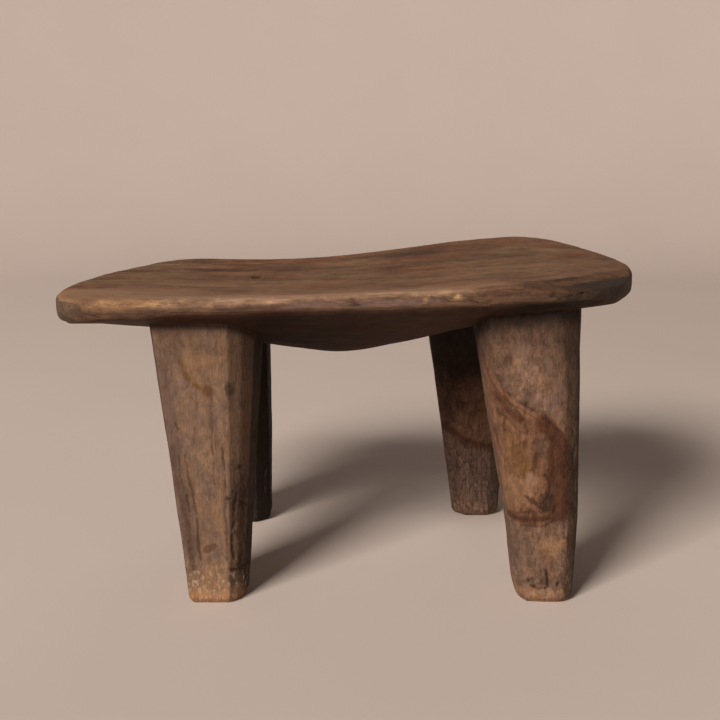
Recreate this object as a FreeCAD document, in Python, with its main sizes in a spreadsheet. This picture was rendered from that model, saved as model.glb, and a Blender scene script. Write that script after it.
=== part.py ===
"""A four-legged carved wooden headrest, in millimetres.

A long bean-shaped seat, dished on top and bellied underneath, stands on four
faceted legs.  Each leg is its own piece: its top follows the seat's underside,
and a tapered tenon on it is driven into a blind socket in the seat.

+X runs along the seat, +Y from its straight front edge to its waisted back
edge, and +Z up.  The origin is on the floor, under the middle of the seat.
"""

import FreeCAD, Part
import math
import os

import Sketcher
from FreeCAD import Vector

# ---------------------------------------------------------------- dimensions

# The plan outline: four corner arcs, joined by three long tangent arcs and the
# straight front edge.
OUTLINE = {
    "front_left_x": -132,
    "front_left_y": -75.5,
    "front_left_radius": 41.5,
    "back_left_x": -107,
    "back_left_y": 43,
    "back_left_radius": 50,
    "back_right_x": 128,
    "back_right_y": 86,
    "back_right_radius": 36,
    "front_right_x": 108.5,
    "front_right_y": -57.5,
    "front_right_radius": 59.5,
    "left_end_radius": 164,
    "waist_radius": 465,
    "right_end_radius": 210,
}

# The seat's cross-sections.  x is along the seat; front and back are the rim's
# heights; dish is how far the top sinks between them; rim is the thickness of
# the edge; belly is the height of the lowest point underneath; reach is how far
# back the section goes.  The heights are those of a level seat: the seat_slope
# is added to them.
STATION_FIELDS = ("x", "front", "back", "dish", "rim", "belly", "reach")
STATIONS = {
    "left_end": (-184, 191, 191, 2, 12.5, 172, 102),
    "left_legs": (-115, 191.5, 192.5, 6, 11, 161.5, 99),
    "left_quarter": (-60, 190, 190, 7, 9.5, 149, 95),
    "middle": (-10, 189.7, 190.3, 7, 9, 139.5, 96),
    "right_quarter": (50, 189.5, 194.5, 7, 10.5, 147.5, 106),
    "right_legs": (115, 191.2, 196.5, 6, 13, 159, 126),
    "right_end": (184, 188.5, 187, 2, 11, 175, 122),
}

SEAT = {
    "seat_slope": 0.042,
    "seat_front": 119,
    "top_rounding": 3.5,
    "bottom_rounding": 4.5,
}

# Each leg tapers from its section at height to its foot on the floor, and bows
# sideways by bow at its knee.  tip is the height of the top of its tenon.
LEG_FIELDS = (
    "top_x", "top_y", "top_width", "top_depth", "height",
    "foot_x", "foot_y", "foot_width", "foot_depth", "knee", "bow", "tip",
)
LEGS = {
    "leg_front_left": (-83.7, -74, 65.4, 62, 176, -79.2, -88.5, 34.5, 39, 80, 0.4, 174),
    "leg_front_right": (104.5, -74, 65, 62, 183, 119, -88, 35, 38, 52, 1.8, 182),
    "leg_back_left": (-91.5, 58, 65, 60, 176, -76, 54, 34, 36, 70, 0.6, 172),
    "leg_back_right": (83, 72, 70, 62, 184, 92.5, 69, 35, 36, 75, 0.8, 184),
}

# Half the size of the rectangle drawn round the outline to trim the seat with,
# and the least and most of the seat that the trimming may leave.
TRIM_REACH = (260, 200)
TRIM_LEAVES = (0.5, 0.98)

# A face's tilt is 1 where it looks straight up and -1 where it looks down.  One
# below UPRIGHT counts as the rim, and one above FACING as the top or underside.
UPRIGHT = 0.02
FACING = 0.3

JOINT = {
    "tenon_root_radius": 20,
    "tenon_tip_radius": 16,
    "tenon_length": 34,
    "socket_gap": 1,
    "sole_wear": 2,
    "wear_height": 3,
}

# The corners of each leg's section, counter-clockwise from its front face, as
# shares of its half width and half depth.
FACETS = {
    "leg_front_left": (
        (-0.94, -1), (0.42, -1), (0.68, -0.8), (0.88, -0.45), (1, 0.1),
        (0.94, 0.66), (0.55, 1), (-0.68, 1), (-1, 0.62), (-1, -0.88),
    ),
    "leg_front_right": (
        (-0.76, -0.94), (-0.1, -1), (0.56, -1), (0.9, -0.78), (1, -0.4),
        (1, 0.56), (0.6, 1), (-0.56, 1), (-1, 0.6), (-1, -0.5),
    ),
    "leg_back_left": (
        (-0.6, -1), (0.5, -1), (1, -0.56), (1, 0.5), (0.6, 0.94),
        (0, 1), (-0.6, 0.92), (-1, 0.5), (-0.96, -0.6),
    ),
    "leg_back_right": (
        (-0.5, -1), (0.46, -1), (0.86, -0.72), (1, -0.2), (0.96, 0.56),
        (0.5, 1), (-0.5, 1), (-0.96, 0.56), (-1, -0.5),
    ),
}


def all_sizes():
    """Every driving dimension by the name it has in the sheet."""
    sizes = {**OUTLINE, **SEAT, **JOINT}
    for fields, table in ((STATION_FIELDS, STATIONS), (LEG_FIELDS, LEGS)):
        for name, row in table.items():
            sizes.update({f"{name}_{field}": value for field, value in zip(fields, row)})
    return sizes


SIZES = all_sizes()


def cell(name):
    """The expression that reads one cell of the sheet."""
    return f"Sizes.{name}"


def make_sheet(doc):
    """The spreadsheet that holds the driving dimensions."""
    sheet = doc.addObject("Spreadsheet::Sheet", "Sizes")
    for row, (name, value) in enumerate(SIZES.items(), start=1):
        sheet.set(f"A{row}", name)
        sheet.set(f"B{row}", str(value))
        sheet.setAlias(f"B{row}", name)
    doc.recompute()


# ------------------------------------------------------------ sketch helpers

START, END, CENTRE = 1, 2, 3
ORIGIN = (-1, 1)


def new_sketch(body, name, role, offset=None):
    """A sketch on one of the body's own origin planes, moved along its normal."""
    sketch = body.newObject("Sketcher::SketchObject", name)
    plane = next(f for f in body.Origin.OriginFeatures if f.Role == role)
    sketch.AttachmentSupport = [(plane, "")]
    sketch.MapMode = "FlatFace"
    if offset:
        sketch.setExpression("AttachmentOffset.Base.z", offset)
    return sketch


def bind(sketch, kind, where, number, expression):
    """Adds a dimension to a sketch and ties it to the sheet."""
    index = sketch.addConstraint(Sketcher.Constraint(kind, *where, number))
    sketch.setExpression(f"Constraints[{index}]", expression)


def pin_point(sketch, geometry, position, point, expressions):
    """Fixes a point of the sketch by its two distances from the origin."""
    for kind, number, expression in zip(("DistanceX", "DistanceY"), point, expressions):
        bind(sketch, kind, (*ORIGIN, geometry, position), number, expression)


def close_chain(sketch, first, count):
    """Joins each of count lines, drawn in order, to the next."""
    for i in range(count):
        ends = (first + i, END, first + (i + 1) % count, START)
        sketch.addConstraint(Sketcher.Constraint("Coincident", *ends))


def make_body(doc, name):
    body = doc.addObject("PartDesign::Body", name)
    body.Label = name
    return body


# ---------------------------------------------------------------------- seat


def rim_height(name, side, drop=0):
    """Height of one end of a section, on the sloping seat, and its expression."""
    level = SIZES[f"{name}_{side}"] + SIZES["seat_slope"] * SIZES[f"{name}_x"]
    text = f"{cell(name + '_' + side)} + {cell('seat_slope')} * {cell(name + '_x')}"
    if drop:
        return level - SIZES[f"{name}_rim"], f"{text} - {cell(name + '_rim')}"
    return level, text


def section_sketch(body, name):
    """One cross-section: two upright rims, a dished top and a round belly."""
    sketch = new_sketch(body, f"Section_{name}", "YZ_Plane", cell(f"{name}_x"))
    slope = SIZES["seat_slope"] * SIZES[f"{name}_x"]
    slope_text = f"{cell('seat_slope')} * {cell(name + '_x')}"
    front_y, back_y = -SIZES["seat_front"], SIZES[f"{name}_reach"]
    front_text, back_text = f"-{cell('seat_front')}", cell(f"{name}_reach")

    front_low, front_low_text = rim_height(name, "front", drop=1)
    front_high, front_high_text = rim_height(name, "front")
    back_low, back_low_text = rim_height(name, "back", drop=1)
    back_high, back_high_text = rim_height(name, "back")
    middle_y = (front_y + back_y) / 2
    middle_text = f"({back_text} - {cell('seat_front')}) / 2"
    dish_z = (front_high + back_high) / 2 - SIZES[f"{name}_dish"]
    dish_text = f"({front_high_text} + {back_high_text}) / 2 - {cell(name + '_dish')}"
    belly_z = SIZES[f"{name}_belly"] + slope
    belly_text = f"{cell(name + '_belly')} + {slope_text}"

    corners = [
        Vector(front_y, front_low, 0),
        Vector(back_y, back_low, 0),
        Vector(back_y, back_high, 0),
        Vector(front_y, front_high, 0),
    ]
    belly_point = Vector(middle_y, belly_z, 0)
    dish_point = Vector(middle_y, dish_z, 0)
    belly = sketch.addGeometry(Part.Arc(corners[0], belly_point, corners[1]))
    back_rim = sketch.addGeometry(Part.LineSegment(corners[1], corners[2]))
    top = sketch.addGeometry(Part.Arc(corners[3], dish_point, corners[2]))
    front_rim = sketch.addGeometry(Part.LineSegment(corners[3], corners[0]))
    texts = [
        (front_text, front_low_text),
        (back_text, back_low_text),
        (back_text, back_high_text),
        (front_text, front_high_text),
    ]
    for curve, first, second in ((back_rim, 1, 2), (front_rim, 3, 0)):
        pin_point(sketch, curve, START, corners[first][:2], texts[first])
        pin_point(sketch, curve, END, corners[second][:2], texts[second])
    for arc, point, ends in (
        (belly, belly_point, (front_rim, back_rim)),
        (top, dish_point, (front_rim, back_rim)),
    ):
        join_arc(sketch, arc, ends)
    pin_arc(sketch, belly, belly_point, (middle_text, belly_text))
    pin_arc(sketch, top, dish_point, (middle_text, dish_text))
    return sketch


def join_arc(sketch, arc, lines):
    """Ties both ends of an arc to whichever line ends they lie on."""
    for position in (START, END):
        here = sketch.getPoint(arc, position)
        for line in lines:
            for line_end in (START, END):
                if sketch.getPoint(line, line_end).distanceToPoint(here) < 1e-6:
                    sketch.addConstraint(
                        Sketcher.Constraint("Coincident", arc, position, line, line_end)
                    )


def pin_arc(sketch, arc, point, expressions):
    """Makes an arc pass through a point that the sheet places."""
    marker = sketch.addGeometry(Part.Point(point), True)
    pin_point(sketch, marker, START, point[:2], expressions)
    sketch.addConstraint(Sketcher.Constraint("PointOnObject", marker, START, arc))


def circles_meet(first, first_radius, second, second_radius, side):
    """Where two circles cross, on the left (1) or right (-1) of first to second."""
    span = second - first
    along = (first_radius**2 - second_radius**2 + span.Length**2) / (2 * span.Length)
    across = math.sqrt(first_radius**2 - along**2)
    direction = Vector(span).normalize()
    normal = Vector(-direction.y, direction.x, 0)
    return first + direction * along + normal * side * across


def arc_between(centre, radius, start, end):
    """The arc round centre, counter-clockwise from start to end."""
    circle = Part.Circle(centre, Vector(0, 0, 1), radius)
    return Part.ArcOfCircle(circle, circle.parameter(start), circle.parameter(end))


CORNERS = ("front_left", "back_left", "back_right", "front_right")


def outline_sketch(body):
    """The plan outline: corner arcs, long arcs tangent to them, a straight front."""
    sketch = new_sketch(body, "Outline", "XY_Plane")
    centre = {c: Vector(SIZES[f"{c}_x"], SIZES[f"{c}_y"], 0) for c in CORNERS}
    radius = {c: SIZES[f"{c}_radius"] for c in CORNERS}

    def long_arc(first, second, big, outside):
        """Centre of the long arc, and its tangent points on two corner arcs."""
        sign = 1 if outside else -1
        middle = circles_meet(
            centre[first], big + sign * radius[first],
            centre[second], big + sign * radius[second], sign,
        )
        touch = [
            centre[c] + (middle - centre[c]).normalize() * radius[c] * sign
            for c in (first, second)
        ]
        return middle, touch[0], touch[1]

    left, left_front, left_back = long_arc(
        "front_left", "back_left", SIZES["left_end_radius"], outside=False
    )
    waist, waist_left, waist_right = long_arc(
        "back_left", "back_right", SIZES["waist_radius"], outside=True
    )
    right, right_back, right_front = long_arc(
        "back_right", "front_right", SIZES["right_end_radius"], outside=False
    )
    span = centre["front_right"] - centre["front_left"]
    lean = math.asin((radius["front_right"] - radius["front_left"]) / span.Length)
    heading = math.atan2(span.y, span.x) - math.pi / 2 - lean
    down = Vector(math.cos(heading), math.sin(heading), 0)
    front = [centre[c] + down * radius[c] for c in ("front_left", "front_right")]

    add = sketch.addGeometry
    long_left = add(arc_between(left, SIZES["left_end_radius"], left_back, left_front))
    corner_fl = add(arc_between(centre["front_left"], radius["front_left"], left_front, front[0]))
    edge = add(Part.LineSegment(front[0], front[1]))
    corner_fr = add(arc_between(centre["front_right"], radius["front_right"], front[1], right_front))
    long_right = add(arc_between(right, SIZES["right_end_radius"], right_front, right_back))
    corner_br = add(arc_between(centre["back_right"], radius["back_right"], right_back, waist_right))
    long_waist = add(arc_between(waist, SIZES["waist_radius"], waist_left, waist_right))
    corner_bl = add(arc_between(centre["back_left"], radius["back_left"], waist_left, left_back))

    joints = (
        (long_left, END, corner_fl, START),
        (corner_fl, END, edge, START),
        (edge, END, corner_fr, START),
        (corner_fr, END, long_right, START),
        (long_right, END, corner_br, START),
        (corner_br, END, long_waist, END),
        (long_waist, START, corner_bl, START),
        (corner_bl, END, long_left, START),
    )
    for joint in joints:
        sketch.addConstraint(Sketcher.Constraint("Tangent", *joint))
    for corner, arc in zip(CORNERS, (corner_fl, corner_bl, corner_br, corner_fr)):
        texts = (cell(f"{corner}_x"), cell(f"{corner}_y"))
        pin_point(sketch, arc, CENTRE, centre[corner][:2], texts)
        bind(sketch, "Radius", (arc,), radius[corner], cell(f"{corner}_radius"))
    for name, arc in (
        ("left_end", long_left), ("waist", long_waist), ("right_end", long_right)
    ):
        bind(sketch, "Radius", (arc,), SIZES[f"{name}_radius"], cell(f"{name}_radius"))
    return sketch


def add_trim_frame(sketch):
    """A rectangle round the outline, so that a pocket removes what is outside it."""
    reach_x, reach_y = TRIM_REACH
    corners = [
        Vector(sx * reach_x, sy * reach_y, 0)
        for sx, sy in ((-1, -1), (1, -1), (1, 1), (-1, 1))
    ]
    first = sketch.GeometryCount
    for i, corner in enumerate(corners):
        sketch.addGeometry(Part.LineSegment(corner, corners[(i + 1) % 4]))
    close_chain(sketch, first, 4)
    for i in range(4):
        sketch.addConstraint(Sketcher.Constraint("Block", first + i))


def face_tilt(face, point):
    """How far a face looks up (1) or down (-1) at a point."""
    u, v = face.Surface.parameter(point)
    return face.normalAt(u, v).z


def rim_edges(shape, sign):
    """The edges where the upright side meets the top (1) or the underside (-1)."""
    names = []
    for index, edge in enumerate(shape.Edges, start=1):
        point = edge.valueAt((edge.FirstParameter + edge.LastParameter) / 2)
        tilts = [face_tilt(f, point) for f in shape.ancestorsOfType(edge, Part.Face)]
        upright = [t for t in tilts if abs(t) < UPRIGHT]
        facing = [t for t in tilts if t * sign > FACING]
        if upright and facing:
            names.append(f"Edge{index}")
    return names


def make_seat_blank(doc):
    """The whole seat before its sockets are cut."""
    body = make_body(doc, "seat_blank")
    sections = [section_sketch(body, name) for name in STATIONS]
    doc.recompute()
    loft = body.newObject("PartDesign::AdditiveLoft", "SeatLoft")
    loft.Profile = (sections[0], [""])
    loft.Sections = [(s, [""]) for s in sections[1:]]
    doc.recompute()
    whole = loft.Shape.Volume

    outline = outline_sketch(body)
    add_trim_frame(outline)
    trim = body.newObject("PartDesign::Pocket", "TrimToOutline")
    trim.Profile = (outline, [""])
    trim.Type = "ThroughAll"
    trim.Reversed = True
    doc.recompute()
    least, most = TRIM_LEAVES
    if not least * whole < trim.Shape.Volume < most * whole:
        raise RuntimeError("the outline trimmed nothing, or too much, off the seat")

    base = trim
    for name, sign, size in (
        ("TopRounding", 1, "top_rounding"), ("BottomRounding", -1, "bottom_rounding")
    ):
        fillet = body.newObject("PartDesign::Fillet", name)
        fillet.Base = (base, rim_edges(base.Shape, sign))
        fillet.setExpression("Radius", cell(size))
        doc.recompute()
        base = fillet
    return body


# ---------------------------------------------------------------------- legs


def leg_extent(leg, level, axis, size):
    """Middle and half size of a leg's section along one axis, with their expressions."""
    foot, foot_text = SIZES[f"{leg}_foot_{axis}"], cell(f"{leg}_foot_{axis}")
    half, half_text = SIZES[f"{leg}_foot_{size}"] / 2, f"{cell(f'{leg}_foot_{size}')} / 2"
    if level == "foot":
        return foot, foot_text, half, half_text
    if level == "sole":
        return foot, foot_text, half - SIZES["sole_wear"], f"({half_text} - {cell('sole_wear')})"
    top, top_text = SIZES[f"{leg}_top_{axis}"], cell(f"{leg}_top_{axis}")
    wide, wide_text = SIZES[f"{leg}_top_{size}"] / 2, f"{cell(f'{leg}_top_{size}')} / 2"
    if level == "top":
        return top, top_text, wide, wide_text
    rise = SIZES[f"{leg}_knee"] / SIZES[f"{leg}_height"]
    rise_text = f"{cell(f'{leg}_knee')} / {cell(f'{leg}_height')}"
    bow = SIZES[f"{leg}_bow"] if axis == "x" else 0
    bow_text = cell(f"{leg}_bow") if axis == "x" else "0"
    return (
        foot + (top - foot) * rise + bow,
        f"({foot_text} + ({top_text} - {foot_text}) * {rise_text} + {bow_text})",
        half + (wide - half) * rise,
        f"({half_text} + ({wide_text} - {half_text}) * {rise_text})",
    )


def leg_section(body, leg, level, offset=None):
    """The faceted section of a leg at its sole, foot, knee or top."""
    sketch = new_sketch(body, f"{level}_of_{leg}", "XY_Plane", offset)
    points, texts = [], []
    for shares in FACETS[leg]:
        point, text = [], []
        for share, axis, size in zip(shares, ("x", "y"), ("width", "depth")):
            middle, middle_text, half, half_text = leg_extent(leg, level, axis, size)
            point.append(middle + share * half)
            text.append(f"{middle_text} + ({share}) * {half_text}")
        points.append(Vector(*point, 0))
        texts.append(text)
    count = len(points)
    for i in range(count):
        sketch.addGeometry(Part.LineSegment(points[i], points[(i + 1) % count]))
    close_chain(sketch, 0, count)
    for i in range(count):
        pin_point(sketch, i, START, points[i][:2], texts[i])
    return sketch


def make_leg_blank(doc, leg):
    """A tapering faceted post, worn at its sole, that runs up into the seat."""
    body = make_body(doc, f"{leg}_blank")
    sections = [
        leg_section(body, leg, "sole"),
        leg_section(body, leg, "foot", cell("wear_height")),
        leg_section(body, leg, "knee", cell(f"{leg}_knee")),
        leg_section(body, leg, "top", cell(f"{leg}_height")),
    ]
    doc.recompute()
    post = body.newObject("PartDesign::AdditiveLoft", f"Post_{leg}")
    post.Profile = (sections[0], [""])
    post.Sections = [(section, [""]) for section in sections[1:]]
    post.Ruled = True
    doc.recompute()
    return body


def make_taper(doc, leg, name, gap=None):
    """The tenon's cone, or with a gap the deeper cone of its socket."""
    cone = doc.addObject("Part::Cone", f"{name}_{leg}")
    taper = f"({cell('tenon_root_radius')} - {cell('tenon_tip_radius')}) / {cell('tenon_length')}"
    extra = cell(gap) if gap else "0"
    cone.setExpression("Radius1", cell("tenon_root_radius"))
    cone.setExpression("Radius2", f"{cell('tenon_tip_radius')} - {taper} * {extra}")
    cone.setExpression("Height", f"{cell('tenon_length')} + {extra}")
    cone.setExpression("Placement.Base.x", cell(f"{leg}_top_x"))
    cone.setExpression("Placement.Base.y", cell(f"{leg}_top_y"))
    cone.setExpression("Placement.Base.z", f"{cell(leg + '_tip')} - {cell('tenon_length')}")
    return cone


def make_leg(doc, leg, seat_blank):
    """The finished leg: the post under the seat, with its tenon."""
    post = doc.addObject("Part::Cut", f"Shouldered_{leg}")
    post.Base = make_leg_blank(doc, leg)
    post.Tool = seat_blank
    whole = doc.addObject("Part::Fuse", leg)
    whole.Base = post
    whole.Tool = make_taper(doc, leg, "Tenon")
    whole.Refine = True
    whole.Label = leg
    return whole


def make_seat(doc, seat_blank):
    """The finished seat: the blank with a blind socket for each leg."""
    sockets = doc.addObject("Part::MultiFuse", "Sockets")
    sockets.Shapes = [make_taper(doc, leg, "Socket", "socket_gap") for leg in LEGS]
    seat = doc.addObject("Part::Cut", "seat")
    seat.Base = seat_blank
    seat.Tool = sockets
    seat.Label = "seat"
    return seat


# -------------------------------------------------------------------- output


def put_on_origin(parts):
    """Moves every part alike, so that the origin is under the middle of the whole."""
    box = FreeCAD.BoundBox()
    for part in parts:
        box.add(part.Shape.optimalBoundingBox())
    shift = Vector(-box.Center.x, -box.Center.y, -box.ZMin)
    for part in parts:
        part.Placement = FreeCAD.Placement(shift, FreeCAD.Rotation())
    print("shift", [round(v, 3) for v in shift])
    print("size", round(box.XLength, 2), round(box.YLength, 2), round(box.ZLength, 2))


def check(doc, parts):
    """Stops if anything failed to build, or if a part isn't one sound solid."""
    for item in doc.Objects:
        if "Invalid" in item.State or "Error" in item.State:
            raise RuntimeError(f"{item.Name} failed to build: {item.State}")
    for part in parts:
        shape = part.Shape
        if shape.isNull() or not shape.isValid() or len(shape.Solids) != 1:
            raise RuntimeError(f"{part.Label} isn't one valid solid")
        print(part.Label, "volume", round(shape.Volume), "mm3")


def main():
    doc = FreeCAD.newDocument("Headrest")
    make_sheet(doc)
    seat_blank = make_seat_blank(doc)
    parts = [make_seat(doc, seat_blank)]
    parts += [make_leg(doc, leg, seat_blank) for leg in LEGS]
    doc.recompute()
    put_on_origin(parts)
    doc.recompute()
    check(doc, parts)
    os.makedirs("parts", exist_ok=True)
    for part in parts:
        part.Shape.exportStep(f"parts/{part.Label}.step")


main()
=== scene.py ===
"""The looks of a four-legged carved wooden headrest, built round its CAD frame.

Each CAD solid is copied into a finer mesh and worked as the carver and then the
years did it: adze facets, scallops, worn edges, drying checks and chips.  The
same passes leave masks on the mesh, such as heartwood, stains and splits, and
the wood materials read them.  Lengths are in millimetres, but the floor, the
lights and the camera are placed in metres.
"""

import itertools
import math
from types import SimpleNamespace

import bpy
import numpy as np
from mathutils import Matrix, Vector
from mathutils.bvhtree import BVHTree


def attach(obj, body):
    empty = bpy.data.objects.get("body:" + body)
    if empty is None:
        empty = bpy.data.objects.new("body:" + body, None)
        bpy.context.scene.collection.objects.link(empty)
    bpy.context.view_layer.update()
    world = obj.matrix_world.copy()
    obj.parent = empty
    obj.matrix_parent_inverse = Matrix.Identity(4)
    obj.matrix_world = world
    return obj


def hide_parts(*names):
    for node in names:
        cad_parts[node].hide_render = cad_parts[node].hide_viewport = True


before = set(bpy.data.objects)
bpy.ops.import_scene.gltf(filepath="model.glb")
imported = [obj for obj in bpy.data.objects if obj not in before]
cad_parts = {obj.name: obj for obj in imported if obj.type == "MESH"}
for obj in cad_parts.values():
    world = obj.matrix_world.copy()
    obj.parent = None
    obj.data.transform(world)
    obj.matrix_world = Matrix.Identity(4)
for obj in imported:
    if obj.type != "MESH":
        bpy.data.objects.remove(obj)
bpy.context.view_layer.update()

MM = 0.001
SEAT_VOXEL = 1.2
LEG_VOXEL = 0.68
# What keeps the legs' noises apart, in their meshes and in their materials.
SEED_STEP = 100
NOISE_STEP = 3.0
LEG_NAMES = ("leg_front_left", "leg_front_right", "leg_back_left", "leg_back_right")


# ---- repeatable noise

# Large numbers that stir a cell's place and a seed into a fixed hash.
CELL_FACTORS = (374761393, 668265263, 2246822519)
SEED_FACTOR = 3266489917
STIR_FACTORS = (2654435761, 1274126177)


def hashed(cells, seed):
    """A fixed number from 0 to 1 for each whole-numbered cell."""
    x, y, z = (cells[:, axis].astype(np.uint32) for axis in range(3))
    by_x, by_y, by_z = (np.uint32(factor) for factor in CELL_FACTORS)
    mixed = x * by_x + y * by_y + z * by_z
    mixed = mixed + np.uint32(seed * SEED_FACTOR % 2**32)
    mixed = (mixed ^ (mixed >> np.uint32(15))) * np.uint32(STIR_FACTORS[0])
    mixed = (mixed ^ (mixed >> np.uint32(13))) * np.uint32(STIR_FACTORS[1])
    mixed = mixed ^ (mixed >> np.uint32(16))
    return (mixed & np.uint32(0xFFFFFF)) / float(0xFFFFFF)


def noise(places, size, seed):
    """Smooth noise from -1 to 1, in lumps of about size along x, y and z."""
    grid = places / np.asarray(size, float)
    low = np.floor(grid).astype(np.int64)
    share = grid - low
    share = share**3 * (share * (share * 6 - 15) + 10)
    total = np.zeros(len(places))
    for corner in itertools.product((0, 1), repeat=3):
        weight = np.prod(np.where(corner, share, 1 - share), axis=1)
        total += weight * hashed(low + corner, seed)
    return 2 * total - 1


def rough_noise(places, size, seed, octaves=3):
    """Noise with finer and weaker noise on top of it."""
    total = np.zeros(len(places))
    for octave in range(octaves):
        total += noise(places, np.asarray(size, float) / 2**octave, seed + octave) / 2**octave
    all_weights = 2 - 0.5 ** (octaves - 1)
    return total / all_weights


def scallops(places, size, seed):
    """Shallow gouges of about size: 0 in the middle of each, 1 on the ridges between."""
    grid = places / np.asarray(size, float)
    low = np.floor(grid).astype(np.int64)
    nearest = np.full(len(places), np.inf)
    for step in itertools.product((-1, 0, 1), repeat=3):
        cell = low + step
        centre = cell + np.stack([hashed(cell, seed + axis) for axis in range(3)], axis=1)
        nearest = np.minimum(nearest, ((grid - centre) ** 2).sum(axis=1))
    return np.clip(nearest, 0, 1)


# ---- soft shapes


def ramp(value, low, high):
    """0 below low, 1 above high, and smooth between them."""
    share = np.clip((value - low) / (high - low), 0, 1)
    return share * share * (3 - 2 * share)


def spot(flat, centre, half_width, half_height, lean=0.0):
    """1 at a point of a face, fading out over its half sizes, turned by lean degrees."""
    turn = math.radians(lean)
    offset = flat - np.asarray(centre, float)
    across = offset[:, 0] * math.cos(turn) + offset[:, 1] * math.sin(turn)
    up = offset[:, 1] * math.cos(turn) - offset[:, 0] * math.sin(turn)
    return np.exp(-((across / half_width) ** 2) - (up / half_height) ** 2)


def line_gap(flat, path):
    """Distance from each point of a face to a line through the points of path."""
    nearest = np.full(len(flat), np.inf)
    for start, end in zip(path[:-1], path[1:]):
        start = np.asarray(start, float)
        run = np.asarray(end, float) - start
        share = np.clip(((flat - start) @ run) / (run @ run), 0, 1)
        gap = np.linalg.norm(flat - start - share[:, None] * run, axis=1)
        nearest = np.minimum(nearest, gap)
    return nearest


def stroke(flat, path, width):
    """1 on a line through the points of path, fading out over width."""
    return np.exp(-((line_gap(flat, path) / width) ** 2))


def inside(flat, outline):
    """Distance inside a closed outline, negative outside it."""
    closed = [*outline, outline[0]]
    crossings = np.zeros(len(flat), int)
    for (ax, ay), (bx, by) in zip(closed[:-1], closed[1:]):
        spans = (flat[:, 1] < ay) != (flat[:, 1] < by)
        rise = by - ay if by != ay else 1e-9
        crossings += spans & (flat[:, 0] < ax + (flat[:, 1] - ay) / rise * (bx - ax))
    return np.where(crossings % 2 == 1, 1, -1) * line_gap(flat, closed)


# ---- worked meshes


def read_all(items, key, kind, width=3):
    """One property of a mesh's points or edges, as rows of width numbers."""
    flat = np.empty(len(items) * width, kind)
    items.foreach_get(key, flat)
    return flat.reshape(-1, width)


class Carving:
    """A fine copy of a CAD node whose surface is moved and masked point by point."""

    def __init__(self, node, voxel):
        self.node = node
        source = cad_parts[node]
        rough = bpy.data.objects.new(f"{node}_copy", source.data.copy())
        bpy.context.scene.collection.objects.link(rough)
        remesh = rough.modifiers.new("Fine", "REMESH")
        remesh.mode = "VOXEL"
        remesh.voxel_size = voxel * MM
        graph = bpy.context.evaluated_depsgraph_get()
        self.mesh = bpy.data.meshes.new_from_object(rough.evaluated_get(graph))
        bpy.data.objects.remove(rough)
        self.mesh.name = f"{node}_carved"
        self.places = read_all(self.mesh.vertices, "co", np.float32).astype(float) / MM
        self.pairs = read_all(self.mesh.edges, "vertices", np.int32, 2)
        self.masks = {}
        self.normals = self.find_normals()

    def write_places(self):
        """Writes the places back to the mesh, in metres."""
        self.mesh.vertices.foreach_set("co", (self.places * MM).astype(np.float32).ravel())
        self.mesh.update()

    def find_normals(self):
        """The mesh's normals, with its points where they are now."""
        self.write_places()
        return read_all(self.mesh.vertex_normals, "vector", np.float32).astype(float)

    def relaxed(self, steps, values=None):
        """The places, or other values, each averaged with its neighbours' steps times."""
        values = self.places if values is None else values
        values = values.reshape(len(self.places), -1)
        first, second = self.pairs[:, 0], self.pairs[:, 1]
        count = len(values)
        links = np.bincount(self.pairs.ravel(), minlength=count)
        for _ in range(steps):
            totals = [
                np.bincount(first, col[second], count) + np.bincount(second, col[first], count)
                for col in values.T
            ]
            values = (values + np.stack(totals, axis=1) / links[:, None]) / 2
        return values

    def soften(self, steps, share=1.0):
        """Rounds the surface off, fully where share is 1."""
        share = np.broadcast_to(share, len(self.places))[:, None]
        self.places += (self.relaxed(steps) - self.places) * share
        self.normals = self.find_normals()

    def press(self, depth):
        """Pushes the surface in by depth, given in millimetres for each point."""
        self.places -= self.normals * depth[:, None]

    def shave(self, normal, depth=0.0, through=None):
        """Cuts a flat facet: a plane depth below the outermost point, or through a point."""
        normal = np.asarray(normal, float) / np.linalg.norm(normal)
        reach = self.places @ normal
        limit = reach.max() - depth if through is None else np.dot(through, normal)
        self.places -= np.clip(reach - limit, 0, None)[:, None] * normal

    def bulge(self, steps):
        """How far each point stands out of its surroundings; hollows are negative."""
        return ((self.places - self.relaxed(steps)) * self.normals).sum(axis=1)

    def mask(self, name, values):
        """Keeps values from 0 to 1 for the material to read; the larger one wins."""
        values = np.clip(values, 0, 1)
        self.masks[name] = np.maximum(self.masks.get(name, 0), values)

    def finish(self, material):
        """Writes the mesh and its masks, and puts the piece in its CAD node's place."""
        self.write_places()
        for name, values in self.masks.items():
            attribute = self.mesh.attributes.new(name, "FLOAT", "POINT")
            attribute.data.foreach_set("value", values.astype(np.float32))
        self.mesh.shade_smooth()
        self.mesh.materials.clear()
        self.mesh.materials.append(material)
        piece = bpy.data.objects.new(f"{self.node}_carved", self.mesh)
        bpy.context.scene.collection.objects.link(piece)
        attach(piece, "root")
        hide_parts(self.node)


# ---- marks

# What the years left on one face of a piece, each as (mask, place, size,
# strength).  A line's place is its points and its size is its half width.  A
# spot's place is its middle, and its size is its half width, half height and,
# where it has one, its lean in degrees.  Lines with a half width below THIN come
# and go along their length, in lumps of BREAK_SIZE.
THIN = 1.6
BREAK_SIZE = (5, 5, 5)
BREAK_SEED = 31


def lay_marks(piece, flat, marks, area, split_depth):
    """Adds marks to a piece's masks, and opens its splits in the surface."""
    broken = ramp(rough_noise(piece.places, BREAK_SIZE, BREAK_SEED, 2), -0.45, 0.15)
    for name, place, size, strength in marks:
        if isinstance(size, tuple):
            values = spot(flat, place, *size)
        else:
            values = stroke(flat, place, size) * (broken if size < THIN else 1)
        values = np.clip(strength * values * area, 0, 1)
        piece.mask(name, values)
        if name == "split":
            piece.press(split_depth * values)


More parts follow.
